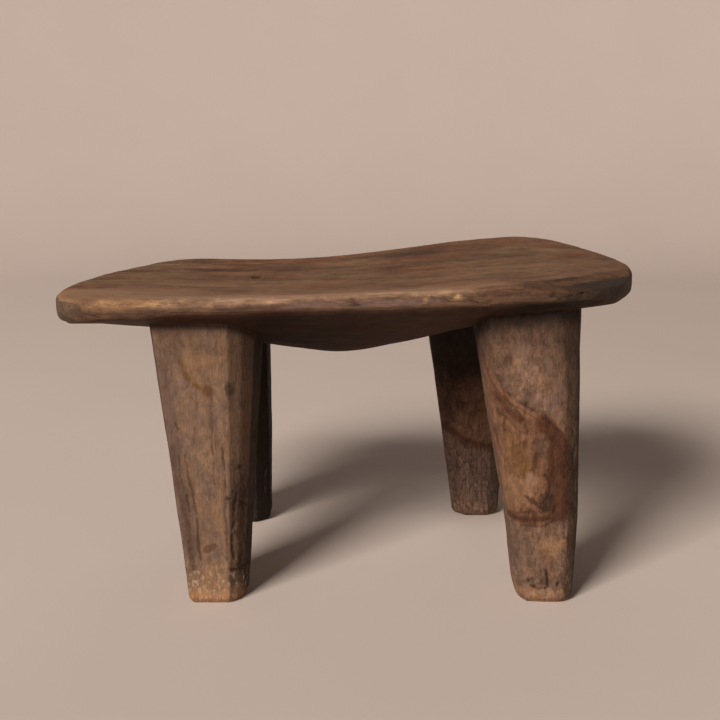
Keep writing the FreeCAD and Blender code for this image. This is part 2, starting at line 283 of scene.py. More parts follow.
def wander(flat, places, amount, size, seed):
    """Points of a face moved about a little, so that what is drawn there isn't ruled."""
    return flat + amount * np.stack(
        [rough_noise(places, size, seed), rough_noise(places, size, seed + 5)], axis=1
    )


# ---- the seat

SEAT_SLOPE = 0.042  # how much the seat rises towards its right end

# Flat facets left by the adze round the rim: direction in plan (degrees from +X),
# tilt from level (negative looks down), and depth.
RIM_FACETS = (
    (225, 0, 1.5), (258, 0, 0.4), (197, 0, 0.8), (176, 0, 0.5),
    (150, 0, 0.6), (118, 0, 0.7), (62, 0, 0.7), (32, 0, 0.8),
    (8, 0, 0.4), (-12, 0, 0.4), (-40, 0, 0.5), (-65, 0, 0.4),
    (236, -45, 2.4), (212, -45, 2.8), (185, -45, 2.6), (130, -45, 1.6),
    (45, -45, 1.4), (0, -45, 1.2), (-30, -50, 1.0), (-64, -48, 0.8),
)

# The right front corner of the top was taken down to a sloping facet.  Its
# outline is seen from above, and the last three points are past the seat's edge.
CORNER_OUTLINE = (
    (100, -97), (119, -95), (141, -77), (159, -61), (172, -46),
    (212, -46), (212, -153), (92, -153),
)
CORNER_SLOPE = (0.1, -0.14, 0.985)
CORNER_POINT = (141, -77, 194.8)
# The middle of the round that the front edge makes at its left end.
LEFT_CORNER = (-132, -78)

# Seen from above: along x, and back from the front along y.
TOP_MARKS = (
    ("red", ((32, 50), (64, 64), (94, 60)), 9, 0.8),
    ("red", ((-28, -52), (2, -48), (26, -52)), 9, 0.5),
    ("pale", ((108, -84), (137, -66), (165, -46)), 7, 0.5),
    ("pale", (-124, -58), (44, 30), 1.1),
    ("pale", (116, 10), (30, 26), 0.5),
    ("pale", ((-90, -24), (-64, -17), (-42, -19)), 3, 0.8),
    ("pale", (-100, -14), (44, 16), 0.8),
    ("pale", (6, -72), (28, 20), 0.6),
    ("pale", ((-112, -101), (-70, -104), (-30, -105), (10, -106)), 7, 0.8),
    ("pale", ((42, -36), (80, -24), (106, -22)), 3.5, 0.5),
    ("pale", ((98, 58), (124, 76), (142, 58)), 9, 0.6),
    ("streak", ((101, -99), (119, -98), (134, -86)), 3, 0.8),
    ("streak", ((116, -112), (130, -102), (148, -88), (160, -74)), 2.6, 0.9),
    ("streak", (-44, 46), (44, 16, 8), 0.6),
    ("streak", (44, 70), (44, 16, 8), 0.8),
    ("streak", (-92, 24), (34, 12, 10), 0.5),
    ("streak", (26, 18), (26, 9, 5), 0.5),
    ("streak", (-90, 46), (40, 9), 0.9),
    ("streak", (2, 70), (52, 10, 3), 0.6),
    ("streak", ((-138, -54), (-94, -62), (-28, -64)), 2, 0.6),
    ("streak", ((-118, 20), (-78, 32), (-28, 34)), 2.2, 0.5),
    ("streak", ((12, 18), (54, 32), (94, 36)), 3, 0.5),
    ("split", (-64, 21), (2.2, 3.4), 2),
)

# Seen from the front: along x, and up.
RIM_MARKS = (
    ("pale", (-40, 184), (14, 2.6, 4), 0.8),
    ("pale", (-70, 180), (16, 3, 5), 0.7),
    ("pale", (18, 184), (16, 2.8), 0.7),
    ("pale", (-92, 188), (24, 3.4), 0.9),
    ("pale", ((-76, 188), (-44, 189), (-14, 190)), 3.2, 1.1),
    ("pale", ((-14, 190), (20, 190), (56, 191)), 3.2, 0.7),
    ("amber", ((-146, 188), (-128, 188), (-110, 188)), 3.2, 1),
    ("mauve", (-18, 182.5), (24, 2.2, 2), 0.9),
    ("mauve", (22, 184), (26, 2.2, 2), 1.1),
    ("mauve", (48, 185), (10, 2), 0.7),
    ("bright", (61, 188), (3.4, 2.8), 0.8),
    ("bright", (56, 190), (6, 2), 0.6),
    ("bright", (27, 190), (4, 1.8), 0.7),
    ("bright", (43, 185), (1.8, 2.4), 0.6),
    ("bright", (49, 188), (4, 1.4), 0.6),
    ("bright", (38, 189), (5, 1.2), 0.5),
    ("bright", (-136, 184), (12, 3.2, 4), 0.7),
    ("bright", (-108, 183), (14, 2.6, -3), 0.6),
    ("bright", (-82, 181), (9, 2, 6), 0.5),
    ("dirt", (-152, 184), (12, 4), 0.9),
    ("dirt", ((-164, 178), (-140, 179), (-104, 179)), 3, 0.9),
    ("dirt", ((-104, 179), (-80, 179), (-48, 180)), 2.6, 1.2),
    ("dirt", (102, 186), (16, 4), 1),
    ("dirt", ((-150, 171), (-60, 175), (-30, 177), (20, 179), (60, 180)), 3.2, 1),
    ("dirt", (2, 184), (4, 2.4), 0.9),
    ("dirt", (-132, 180), (3, 3), 0.7),
    ("split", ((2, 187), (4, 184), (6, 183)), 0.7, 0.7),
    ("split", ((68, 186), (74, 184), (80, 185)), 0.8, 0.6),
    ("split", ((86, 184), (94, 182), (103, 184)), 0.8, 0.6),
    ("split", ((114, 188), (123, 187), (133, 189)), 0.8, 0.6),
)


def facet_normal(heading, tilt):
    """The direction that a facet faces."""
    turn, lean = math.radians(heading), math.radians(tilt)
    level = math.cos(lean)
    return math.cos(turn) * level, math.sin(turn) * level, math.sin(lean)


def seat_zones(seat):
    """The parts of the seat's surface, each from 0 to 1, and its level above the slope."""
    x, y, z = seat.places.T
    facing_x, _, facing_z = seat.normals.T
    left_end = ramp(-x, 90, 120)
    top = ramp(facing_z, 0.35, 0.9)
    under = ramp(-facing_z, 0.05 + 0.7 * left_end, 0.45 + 0.5 * left_end)
    rim = 1 - np.maximum(top, under)
    front = ramp(-y, 98, 116)
    end = ramp(np.abs(facing_x), 0.3, 0.8) * rim
    level = z - SEAT_SLOPE * x
    return SimpleNamespace(top=top, under=under, rim=rim, front=front, end=end, level=level)


def edge_zones(seat, zone):
    """The worn lip of the front edge, and the rubbed band of the top behind it."""
    x, y, _ = seat.places.T
    past_corner = np.minimum(x - LEFT_CORNER[0], 0), np.minimum(y - LEFT_CORNER[1], 0)
    forward = np.hypot(*past_corner) - LEFT_CORNER[1]
    right_end = ramp(x, 86, 104)
    band = ramp(forward, 58, 104) * ramp(-y, 30, 74) * zone.top * (1 - right_end)
    band *= 1 + 0.5 * ramp(-x, 20, 70)

    torn_forward = forward + 5 * rough_noise(seat.places, (22, 9, 9), 24)
    lip_start = 92 - 16 * ramp(-x, 30, 90)
    lip_level = zone.level + 2.2 * ramp(-x, 50, 90)
    lip = ramp(torn_forward, lip_start, 112) * ramp(lip_level, 183, 190)
    lip *= 1 - 0.5 * ramp(x, 46, 70) - 0.5 * right_end
    lip *= ramp(-y, 60, 90) * (1 - 0.8 * ramp(-seat.normals[:, 0], 0.45, 0.75))
    return lip, band


def wear_seat(seat, zone):
    """Rounds off the front lip, then the left end, then the rest of the rim."""
    x, y, _ = seat.places.T
    seat.soften(30, 0.95 * ramp(-y, 98, 110) * ramp(zone.level, 172, 180))
    seat.soften(16, 0.85 * ramp(-x, 134, 150) * (1 - zone.under))
    seat.soften(10, 0.8 * zone.rim * (1 - zone.front))


def gouge_seat(seat, smooth, zone):
    """Scallops and unevenness, by the places on the smooth seat; each line has its own seed."""
    depth = 0.4 * zone.top * scallops(smooth, (70, 13, 40), 11)
    depth += 1.0 * zone.under * scallops(smooth, (38, 15, 30), 12)
    depth += 0.5 * zone.rim * scallops(smooth, (15, 15, 11), 13)
    depth += 0.3 * rough_noise(smooth, (40, 9, 20), 14) * zone.top
    depth += 0.45 * rough_noise(smooth, (30, 22, 20), 15) * (1 - zone.top)
    depth += 0.45 * rough_noise(smooth, (16, 9, 7), 17) * zone.front * (1 - zone.rough_end)
    depth += 0.9 * zone.rough_end * ramp(rough_noise(smooth, (7, 6, 4), 16), 0.0, 0.6)
    seat.press(depth)
    seat.normals = seat.find_normals()


def mark_seat(seat, smooth, zone):
    """The seat's marks and splits, and masks of its worn parts, dark parts and painted shade."""
    x, y, z = seat.places.T
    plan = wander(np.stack([x, y], axis=1), smooth, 1.6, (24, 12, 12), 21)
    face = wander(np.stack([x, z], axis=1), smooth, 0.8, (9, 9, 6), 23)
    lay_marks(seat, plan, TOP_MARKS, zone.top, 2.6)
    lay_marks(seat, face, RIM_MARKS, zone.front * (1 - zone.under), 0.9)

    seat.mask("worn", ramp(seat.bulge(6), 0.04, 0.4) * (1 - zone.under))
    seat.mask("lip", zone.lip * (1 - 0.7 * zone.rough_end))
    seat.mask("amber", 0.8 * zone.lip * ramp(-x, 92, 126))
    seat.mask("near_edge", zone.near_edge)
    seat.mask("rough", zone.rough_end * ramp(zone.level, 180, 186))
    seat.mask("end", zone.end)
    # The right end and the sloping corner facet: partly their own darker wood, partly painted
    # shade.
    seat.mask("dark_end", ramp(x, 92, 128) * zone.rim)
    seat.mask("dark_end", ramp(x, 170, 178) * ramp(-y, 20, 50))
    corner = inside(plan, CORNER_OUTLINE)
    seat.mask("corner", ramp(corner, -2, 3) * (1 - 0.8 * ramp(corner, 12, 18)))
    seat.mask("dark_slope", ramp(corner, 10, 15) * ramp(x, 112, 130) * zone.top)
    low_rim = zone.front * (1 - ramp(zone.level, 177.5, 181))
    seat.mask("low_rim", low_rim * ramp(x, -60, -20))
    # Painted shadow on the low rim above the right legs.
    seat.mask("gap", low_rim * ramp(x, 70, 100))
    seat.mask("rim", zone.rim)
    # The material paints the underside darker: partly unrubbed wood, partly painted shade.
    seat.mask("under", zone.under)
    # Painted shadow on the front of the underside, beside the front left leg.
    seat.mask("deep_shade", zone.under * spot(plan, (-30, -88), 60, 34))
    seat.mask("deep_shade", zone.under * spot(plan, (-42, -110), 26, 16))


def carve_seat():
    """The seat: facetted rim, gouged belly, rubbed top, splits and worn lip."""
    seat = Carving("seat", SEAT_VOXEL)
    seat.soften(2)
    for heading, tilt, depth in RIM_FACETS:
        seat.shave(facet_normal(heading, tilt), depth)
    seat.shave(CORNER_SLOPE, through=CORNER_POINT)
    seat.soften(1)
    zone = seat_zones(seat)
    zone.lip, zone.near_edge = edge_zones(seat, zone)
    wear_seat(seat, zone)
    smooth = seat.places.copy()
    zone.rough_end = ramp(smooth[:, 0], 62, 84) * zone.front
    gouge_seat(seat, smooth, zone)
    mark_seat(seat, smooth, zone)
    return seat


# ---- the legs

# Seen from the front: along x, and up.
HEARTWOOD = (
    (62, 160), (81, 152), (88, 134), (96, 126), (106, 121), (118, 112), (127, 101),
    (133, 86), (134, 66), (128, 55), (116, 48), (102, 49), (90, 54), (62, 60),
)
DARK_WOOD = (
    (32, 220), (32, 74), (62, 67), (72, 63), (81, 56),
    (94, 51), (107, 50), (122, 58), (152, 62), (152, 220),
)
# The leg that shows each, and whether it goes right through.
HEARTS = {"leg_front_right": (HEARTWOOD, 0), "leg_back_right": (DARK_WOOD, 1)}
FRONT_LEFT_MARKS = (
    ("grey", ((-110, 146), (-105, 110), (-99, 70), (-94, 34)), 6, 1.1),
    ("grey", (-104, 120), (4, 8, 10), 1),
    ("grey", (-100, 166), (14, 7), 0.7),
    ("grey", (-78, 160), (7, 12), 0.5),
    ("grey", (-80, 113), (3.5, 8), 0.8),
    ("tan", (-91, 148), (9, 9), 1),
    ("tan", (-83, 149), (10, 9), 0.8),
    ("tan", (-77, 56), (5, 14), 0.8),
    ("tan", (-81, 18), (10, 10), 0.8),
    ("ochre", (-88, 136), (9, 5, -40), 0.9),
    ("stain", (-101, 157), (1.8, 5, 25), 0.6),
    ("stain", (-97, 147), (2.2, 6, 30), 0.9),
    ("stain", (-94, 140), (2.4, 6, 35), 1),
    ("stain", (-88, 134), (5, 2.4, -35), 1),
    ("stain", (-82, 131), (3.6, 4.2, 20), 1.3),
    ("oval", (-83, 35), (4.4, 2.3, 26), 1.8),
    ("streak", ((-101, 112), (-98, 104), (-95, 97)), 1, 1),
    ("streak", ((-96, 92), (-94, 78), (-91, 60), (-89, 28)), 1.1, 1),
    ("streak", ((-80, 118), (-80, 104), (-79, 74)), 0.8, 0.8),
    ("streak", ((-100, 92), (-98, 76), (-95, 62)), 1, 0.8),
    ("streak", ((-75, 100), (-73, 84), (-72, 60)), 1, 0.9),
    ("streak", (-69, 131), (3.2, 7), 0.8),
    ("dirt", (-66, 58), (5, 26), 0.9),
    ("dirt", (-64, 24), (4, 12), 0.8),
    ("dirt", ((-104, 96), (-98, 60), (-93, 22)), 3, 0.7),
    ("dirt", ((-74, 96), (-73, 60), (-72, 28)), 2, 0.6),
    ("dirt", (-69, 132), (3, 5), 1.1),
    ("dirt", (-64, 66), (4, 6), 1.2),
    ("crackle", (-64, 56), (7, 34), 0.9),
    ("crackle", (-64, 22), (8, 14), 1),
    ("split", ((-64, 84), (-66, 72), (-67, 62), (-68, 54)), 1.1, 1.4),
    ("split", ((-72, 66), (-67, 64), (-63, 61), (-58, 54)), 0.9, 1.3),
    ("split", ((-68, 50), (-69, 40), (-68, 28)), 0.9, 1.1),
    ("split", ((-63, 31), (-66, 23), (-64, 14)), 1, 1.3),
    ("split", ((-71, 22), (-66, 20), (-60, 22)), 0.9, 1.1),
    ("split", ((-61, 46), (-62, 34)), 0.7, 0.8),
    ("split", ((-95, 68), (-94, 58)), 0.7, 0.5),
    ("split", ((-90, 45), (-90, 33)), 0.6, 0.5),
)
FRONT_RIGHT_MARKS = (
    ("red", ((114, 112), (123, 102), (130, 86), (130, 66), (123, 56)), 5.5, 1.4),
    ("red", (124, 84), (8, 24), 1.3),
    ("red", (120, 62), (8, 8), 0.9),
    ("red", ((120, 54), (108, 52), (94, 54)), 2.4, 1),
    ("red", ((86, 128), (94, 118), (101, 114)), 3, 0.8),
    ("red", (110, 108), (8, 8), 0.5),
    ("red", (110, 92), (3, 22), 0.6),
    ("grey", (113, 97), (5, 9, 10), 1),
    ("grey", (102, 34), (12, 13), 0.6),
    ("grey", (120, 140), (9, 16), 0.6),
    ("tan", (98, 70), (12, 12), 1.2),
    ("tan", (120, 36), (9, 8), 0.9),
    ("tan", (102, 5), (14, 5), 0.6),
    ("tan", (98, 76), (9, 12), 0.6),
    ("gold", (95, 98), (4, 11, 10), 1.2),
    ("gold", (103, 84), (9, 5), 1.3),
    ("pale", (108, 76), (5, 10), 0.8),
    ("pale", (104, 142), (8, 8), 0.9),
    ("pale", (112, 126), (6, 8, 30), 0.7),
    ("pale", (99, 154), (9, 12, 10), 0.9),
    ("stain", (102, 90), (8, 7), 0.7),
    ("stain", (98, 66), (6, 6), 0.5),
    ("streak", (121, 167), (2.2, 5), 0.9),
    ("streak", (128, 160), (2.6, 7), 0.8),
    ("streak", (110, 166), (2.5, 3), 0.7),
    ("streak", (93, 150), (2.6, 5, 20), 0.8),
    ("streak", ((110, 147), (112, 138), (115, 133)), 1.4, 0.6),
    ("dirt", (117, 64), (6, 7), 1.4),
    ("dirt", (132, 70), (3, 30), 0.9),
    ("dirt", (115, 14), (8, 5), 0.7),
    ("dirt", (128, 158), (12, 18), 0.8),
    ("edge", HEARTWOOD[2:12], 0.9, 0.9),
    ("edge", ((121, 104), (128, 92), (131, 78), (131, 64), (126, 55)), 2.2, 0.5),
    ("edge", ((86, 140), (92, 125), (99, 119), (103, 112)), 0.9, 0.8),
    ("edge", ((87, 117), (94, 114), (99, 108), (105, 105)), 0.9, 0.7),
    ("edge", ((119, 106), (120, 92), (119, 80)), 1, 0.7),
    ("edge", ((90, 57), (98, 56), (108, 57)), 0.9, 0.7),
    ("char", (118, 65), (4.5, 3, 40), 0.9),
    ("char", ((107, 15), (109, 11), (113, 9)), 1.1, 1),
    ("char", ((118, 21), (119, 12)), 1, 0.9),
    ("char", (125, 13), (1.1, 2.8), 1),
    # Painted shade down the right edge.
    ("deep_shade", (140, 84), (4, 60), 0.9),
    ("crackle", (116, 64), (7, 9), 1.1),
    ("crackle", (131, 76), (5, 60), 1.2),
    ("split", ((104, 124), (103, 114), (106, 105)), 0.9, 0.7),
    ("split", ((116, 80), (119, 74), (118, 66), (114, 62)), 0.9, 1),
    ("split", ((119, 66), (123, 62), (122, 57)), 0.8, 0.9),
    ("split", ((109, 65), (112, 60), (118, 58)), 1, 1),
    ("split", ((105, 67), (109, 62)), 0.8, 0.9),
    ("split", ((132, 108), (134, 96), (133, 86)), 0.9, 0.8),
    ("split", ((109, 15), (111, 11), (114, 9), (119, 10)), 0.8, 1),
    ("split", ((118, 21), (119, 15), (120, 10)), 0.7, 1),
    ("split", ((125, 16), (125, 11)), 1, 1),
)
BACK_LEFT_MARKS = (
    # Painted shade over the whole front of the leg.
    ("deep_shade", ((-70, 0), (-60, 190)), 40, 1.5),
    ("split", ((-70, 60), (-68, 44), (-69, 30)), 0.8, 0.9),
    ("split", ((-62, 40), (-63, 22)), 0.8, 0.9),
)
BACK_RIGHT_MARKS = (
    ("red", ((62, 70), (72, 66), (81, 60), (94, 55), (107, 54), (122, 62)), 3.2, 0.9),
    ("dirt", (70, 90), (6, 40), 0.7),
    ("edge", DARK_WOOD[2:9], 1.2, 0.7),
    # Painted shadow of the seat on the upper left of the leg.
    ("deep_shade", (78, 132), (34, 40), 1),
    ("crackle", (86, 28), (26, 24), 2.2),
    ("split", ((88, 48), (88, 40), (89, 32)), 0.9, 1),
    ("split", ((76, 44), (77, 36), (76, 29)), 0.9, 1),
    ("split", ((75, 27), (77, 18)), 0.8, 0.9),
    ("split", ((82, 33), (81, 20)), 0.7, 0.8),
    ("split", ((99, 40), (100, 22)), 0.8, 0.8),
    ("split", ((92, 20), (93, 11)), 0.8, 0.8),
    ("split", ((76, 36), (84, 35)), 0.7, 0.8),
)
# In the order of LEG_NAMES, like the rows of LEG_WEAR.
LEG_MARKS = (FRONT_LEFT_MARKS, FRONT_RIGHT_MARKS, BACK_LEFT_MARKS, BACK_RIGHT_MARKS)
# How many smoothing steps wear each leg's arrises, and how far below the seat
# the painted shadow at the joint begins to fade and is gone.
LEG_WEAR = ((16, 1, 6), (60, 5, 14), (20, 2, 9), (30, 2, 9))

# The two bands of height, near the foot and near the top, that give a leg's axis.
AXIS_BANDS = ((4, 10), (118, 126))
# The seat's underside is looked for over a leg's points that are above this.
SEAT_SEARCH_FROM = 110
NO_SEAT = 1e3
CHECK_COUNT = 34
# How far inside the heart's outline the mask of its rings is full.
HEART_DEPTH = 50


def underside():
    """A tree of the CAD seat's surface, to find its underside with."""
    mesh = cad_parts["seat"].data
    corners = [vertex.co for vertex in mesh.vertices]
    return BVHTree.FromPolygons(corners, [face.vertices for face in mesh.polygons])


def seat_height(tree, places):
    """The height of the seat's underside over each point, far above where it has none."""
    heights = np.full(len(places), NO_SEAT)
    for index in np.flatnonzero(places[:, 2] > SEAT_SEARCH_FROM):
        x, y, _ = places[index] * MM
        hit = tree.ray_cast(Vector((x, y, 0.0)), Vector((0, 0, 1)))[0]
        if hit is not None:
            heights[index] = hit.z / MM
    return heights


def round_the_axis(places):
    """Each point's heading round the leg's leaning axis, and its distance from the axis."""
    z = places[:, 2]
    low, high = (places[(z > start) & (z < end)].mean(axis=0) for start, end in AXIS_BANDS)
    rise = (z - low[2]) / (high[2] - low[2])
    offset = places - (low + (high - low) * rise[:, None])
    return np.arctan2(offset[:, 1], offset[:, 0]), np.hypot(offset[:, 0], offset[:, 1])


def drying_checks(places, count, seed):
    """Fine splits up the leg, scattered all round it."""
    around, reach = round_the_axis(places)
    draw = np.random.default_rng(seed)
    checks = np.zeros(len(places))
    for _ in range(count):
        heading = draw.uniform(-math.pi, math.pi)
        middle = draw.uniform(2, 130)
        length = draw.uniform(4, 20)
        width = draw.uniform(0.35, 0.7)
        depth = draw.uniform(0.4, 1.0)
        bend = 1.8 * noise(places, (60, 60, 14), int(draw.integers(1, 9999)))
        gap = np.angle(np.exp(1j * (around - heading))) * reach + bend
        along = np.clip(1 - ((places[:, 2] - middle) / length) ** 2, 0, 1)
        checks = np.maximum(checks, depth * np.exp(-((gap / width) ** 2)) * along)
    return checks


def gouge_leg(leg, places, side, seed):
    """Scallops, unevenness and a chipped foot, pressed into the leg's sides."""
    depth = 0.55 * scallops(places, (18, 18, 42), seed)
    depth += 0.55 * rough_noise(places, (22, 22, 50), seed + 1)
    depth += 0.16 * rough_noise(places, (3, 3, 9), seed + 2)
    foot_chips = ramp(rough_noise(places, (7, 7, 5), seed + 3), 0.1, 0.7)
    depth += 0.5 * foot_chips * (1 - ramp(places[:, 2], 1, 8))
    leg.press(depth * side)
    leg.normals = leg.find_normals()


def mark_leg(leg, marks, places, side, front, seed):
    """The leg's marks, its heart and its splits, drawn on its front and checked all round."""
    x, _, z = places.T
    flat = wander(np.stack([x, z], axis=1), places, 1.1, (10, 10, 10), seed + 4)
    lay_marks(leg, flat, marks, side * front, 0.5)
    if leg.node in HEARTS:
        outline, seen_through = HEARTS[leg.node]
        depth_inside = inside(flat, outline)
        leg.mask("heart", ramp(depth_inside, -0.5, 1.0) * np.maximum(front, seen_through))
        leg.mask("rings", depth_inside / HEART_DEPTH)
    checks = drying_checks(places, CHECK_COUNT, seed) * (1 - 0.75 * front)
    leg.mask("split", checks * side)
    leg.press(0.8 * checks * side)


def carve_leg(number, name, tree):
    """One leg: facets, scallops, drying checks, worn arrises and a chipped foot."""
    seed = SEED_STEP * (number + 1)
    leg = Carving(name, LEG_VOXEL)
    leg.soften(1)
    places = leg.places.copy()
    z = places[:, 2]
    below = seat_height(tree, places) - z
    free = ramp(below, -0.5, 1.5)
    side = free * ramp(1 - np.abs(leg.normals[:, 2]), 0.1, 0.5)
    front = ramp(-leg.normals[:, 1], -0.1, 0.3)
    arris_steps, *joint_shade = LEG_WEAR[number]
    leg.soften(arris_steps, 0.95 * side * ramp(z, 8, 24) * ramp(below, 2, 14))
    leg.soften(5, 1 - ramp(z, 1.5, 5))
    facing_right = leg.relaxed(8, leg.normals)[:, 0]
    gouge_leg(leg, places, side, seed)
    mark_leg(leg, LEG_MARKS[number], places, side, front, seed)

    leg.mask("worn", ramp(leg.bulge(5), 0.08, 0.5) * side)
    # Painted shade on the sides that face right.
    leg.mask("deep_shade", 0.7 * ramp(facing_right, 0.78, 1.0) * side)
    leg.mask("foot", 1 - ramp(z, 2, 24))
    leg.mask("flecks", 1 - ramp(z, 12, 32))
    # Painted shade on the sides that face left and right.
    leg.mask("left_side_shade", ramp(-facing_right, 0.45, 0.85) * side)
    leg.mask("right_side_shade", ramp(facing_right, 0.15, 0.75) * side)
    # Painted shade, fading out over 45 mm below the seat.
    leg.mask("under_seat_shade", (1 - ramp(below, 0, 45)) * free)
    # Painted shadow just below the seat.
    leg.mask("joint_shadow", (1 - ramp(below, *joint_shade)) * free)

    # The top goes a little way into the seat, and the sole stays on the floor.
    leg.places[:, 2] += 1.2 * (1 - ramp(below, 0.2, 1.2))
    leg.places[:, 2] = np.maximum(leg.places[:, 2], 0)
    return leg


# ---- materials


class Paint:
    """A material in the making; tables call its noises, known colours and strengths by name."""

    def __init__(self, name, offset=0.0, noises=None):
        self.material = bpy.data.materials.new(name)
        self.material.use_nodes = True
        self.tree = self.material.node_tree
        self.shader = self.tree.nodes["Principled BSDF"]
        self.place = self.tree.nodes.new("ShaderNodeTexCoord").outputs["Object"]
        self.offset = offset
        self.noises = {key: self.noise(*settings) for key, settings in (noises or {}).items()}
        self.known = {}
        self.shares = {}

    def node(self, kind, inputs=None, **settings):
        """A new node with these settings, and with its named inputs fed."""
        made = self.tree.nodes.new(f"ShaderNode{kind}")
        for name, value in settings.items():
            setattr(made, name, value)
        for name, source in (inputs or {}).items():
            self.feed(made.inputs[name], source)
        return made

    def feed(self, socket, source):
        """Links a socket to another node's output, or sets its number or colour."""
        if isinstance(source, bpy.types.NodeSocket):
            self.tree.links.new(source, socket)
        elif isinstance(source, tuple) and socket.type == "RGBA":
            socket.default_value = (*source, 1)
        else:
            socket.default_value = source

    def mapped(self, size):
        """The place on the object, measured in steps of size along x, y and z."""
        location = [self.offset + length for length in size]
        scale = [1 / (length * MM) for length in size]
        inputs = {"Vector": self.place, "Location": location, "Scale": scale}
        return self.node("Mapping", inputs).outputs["Vector"]

    def noise(self, size, detail, roughness=0.55, distortion=0.0):
        """Noise from 0 to 1 in lumps of about size, in millimetres along x, y and z."""
        inputs = {"Vector": self.mapped(size), "Scale": 1, "Detail": detail}
        inputs.update({"Roughness": roughness, "Distortion": distortion})
        return self.node("TexNoise", inputs).outputs["Fac"]

    def between(self, value, low, high, to_low=0.0, to_high=1.0):
        """A value carried smoothly from one range to another, and held at its ends."""
        inputs = {"Value": value, "From Min": low, "From Max": high}
        inputs.update({"To Min": to_low, "To Max": to_high})
        return self.node("MapRange", inputs, interpolation_type="SMOOTHSTEP").outputs["Result"]

    def join(self, operation, first, second):
        """Two values added, multiplied or otherwise put together."""
        return self.node("Math", {0: first, 1: second}, operation=operation).outputs["Value"]

    def mix(self, share, first, second, blend="MIX"):
        """The first colour, turned into the second one by share."""
        made = self.node("Mix", data_type="RGBA", blend_type=blend)
        colours = [socket for socket in made.inputs if socket.type == "RGBA"]
        self.feed(made.inputs["Factor"], share)
        self.feed(colours[0], first)
        self.feed(colours[1], second)
        return next(socket for socket in made.outputs if socket.type == "RGBA")

    def multiplied(self, colour, factor):
        """A colour times another colour, or made darker or lighter by a value."""
        return self.mix(1.0, colour, factor, "MULTIPLY")

    def shaded(self, colour, noise, low, high, darkest, lightest):
        """A colour made darker and lighter as a noise goes from low to high."""
        shade = self.between(self.noises[noise], low, high, darkest, lightest)
        return self.multiplied(colour, shade)

    def mask(self, name):
        """A mask of the mesh."""
        return self.node("Attribute", attribute_name=name).outputs["Fac"]

    def torn(self, name, noise, amount, low, high):
        """A mask whose edge is broken up by a noise, faded in from low to high."""
        ragged = self.join("SUBTRACT", self.noises[noise], 0.5)
        ragged = self.join("MULTIPLY", ragged, amount)
        return self.between(self.join("ADD", self.mask(name), ragged), low, high)

    def times(self, value, strength):
        """A value made weaker or stronger."""
        return self.join("MULTIPLY", value, strength)

    def looked_up(self, value):
        """A word of a table stands for the known colour or strength of that name."""
        return self.known[value] if isinstance(value, str) else value

    def layer(self, colour, share, strength, second):
        """Lays a second colour over the first where share is, as strongly as strength."""
        share = self.times(share, self.looked_up(strength))
        return self.mix(share, colour, self.looked_up(second))

    def wood(self, noise, low, high, first, second):
        """Wood that goes from one colour to another as a noise goes from low to high."""
        return self.mix(self.between(self.noises[noise], low, high), first, second)

    def lay_grain(self, colour, rows):
        """Lays each row's colour where its noise has passed from its start to its full value."""
        for noise, start, full, strength, second in rows:
            share = self.between(self.noises[noise], start, full)
            colour = self.layer(colour, share, strength, second)
        return colour

    def lay_coats(self, colour, rows):
        """Lays each row's colour where its mask is, torn or as it stands."""
        for name, tear, strength, second in rows:
            self.shares[name] = self.torn(name, *tear) if tear else self.mask(name)
            colour = self.layer(colour, self.shares[name], strength, second)
        return colour

    def cracks(self, size, width, bend=0.9):
        """Fine cracks, 1 on the crack: the edges between bent cells of about size."""
        mapped = self.mapped(size)
        sway = self.node("TexNoise", {"Vector": mapped, "Scale": 1.3, "Detail": 3})
        terms = {0: sway.outputs["Color"], 1: (bend, bend, bend), 2: mapped}
        bent = self.node("VectorMath", terms, operation="MULTIPLY_ADD")
        inputs = {"Vector": bent.outputs["Vector"], "Scale": 1}
        cells = self.node("TexVoronoi", inputs, feature="DISTANCE_TO_EDGE")
        return self.between(cells.outputs["Distance"], width, 0.0)

    def finish(self, colour, roughness, height, relief, gloss):
        """Joins the colour, roughness and relief (its height in mm) to the shader."""
        bump = self.node("Bump", {"Strength": 1, "Distance": relief * MM, "Height": height})
        self.feed(self.shader.inputs["Base Color"], colour)
        self.feed(self.shader.inputs["Roughness"], roughness)
        self.feed(self.shader.inputs["Normal"], bump.outputs["Normal"])
        self.feed(self.shader.inputs["Specular IOR Level"], gloss)
        return self.material


# The noises of the seat's wood: lump size along x, y and z, detail, roughness and
# distortion.
SEAT_NOISES = {
    "fibre": ((22, 0.8, 0.8), 3),
    "streaks": ((46, 8, 8), 6, 0.66, 0.9),
    "lines": ((40, 2.0, 2.4), 4, 0.65),
    "wisps": ((18, 3.2, 2.6), 5, 0.7, 0.4),
    "broad": ((80, 26, 30), 3),
    "patch": ((20, 9, 5), 5, 0.72, 0.4),
    "blotch": ((9, 6, 5), 6, 0.7, 0.3),
    "mottle": ((7, 4, 2.6), 6, 0.75, 0.4),
    "tint": ((56, 26, 30), 4, 0.6),
}
# Each wood's noise, the values it goes between, and its two colours.
SEAT_WOODS = {
    "plain_wood": ("broad", 0.4, 0.6, (0.128, 0.058, 0.029), (0.186, 0.094, 0.048)),
    "corner_wood": ("blotch", 0.4, 0.6, (0.078, 0.038, 0.02), (0.14, 0.068, 0.036)),
    "rim_wood": ("patch", 0.38, 0.62, (0.078, 0.044, 0.029), (0.15, 0.086, 0.054)),
    "lip_wood": ("wisps", 0.4, 0.6, (0.19, 0.106, 0.062), (0.3, 0.178, 0.11)),
}
